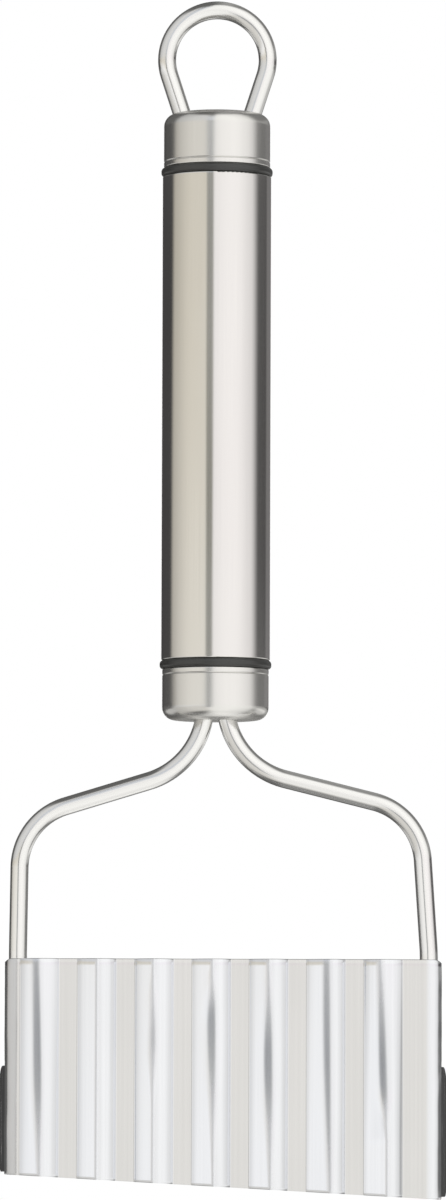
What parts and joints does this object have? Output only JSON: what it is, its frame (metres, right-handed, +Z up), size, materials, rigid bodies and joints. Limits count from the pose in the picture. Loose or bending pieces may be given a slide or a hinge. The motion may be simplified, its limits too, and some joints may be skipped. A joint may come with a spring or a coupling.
{
  "type": "crinkle cutter",
  "caption": "Hand-held crinkle cutter: a round brushed steel handle with a hanging loop and bent wire arms that carry a fluted blade, for cutting vegetables with a wavy face.",
  "frame": {"origin": "where a hook touches the inside of the hanging loop, on the axis of the handle", "axes": "+Z up along the handle, +X along the blade towards its deeper end, -Y out of the front of the blade, where the flutes stand out"},
  "size_m": [0.0966, 0.024, 0.2591],
  "materials": {
    "handle_steel": "satin, brushed along the handle",
    "wire_steel": "bright drawn wire, polished",
    "blade_steel": "bright rolled sheet with a ground edge",
    "ring_black": "matt black",
    "plug_nylon": "moulded nylon"
  },
  "bodies": {
    "root": {"handle_tube": "handle_steel", "upper_cap": "handle_steel", "lower_cap": "handle_steel", "upper_ring": "ring_black", "lower_ring": "ring_black", "upper_plug": "plug_nylon", "lower_plug": "plug_nylon", "hanging_loop": "wire_steel", "left_arm": "wire_steel", "right_arm": "wire_steel", "blade": "blade_steel"}
  },
  "joints": []
}
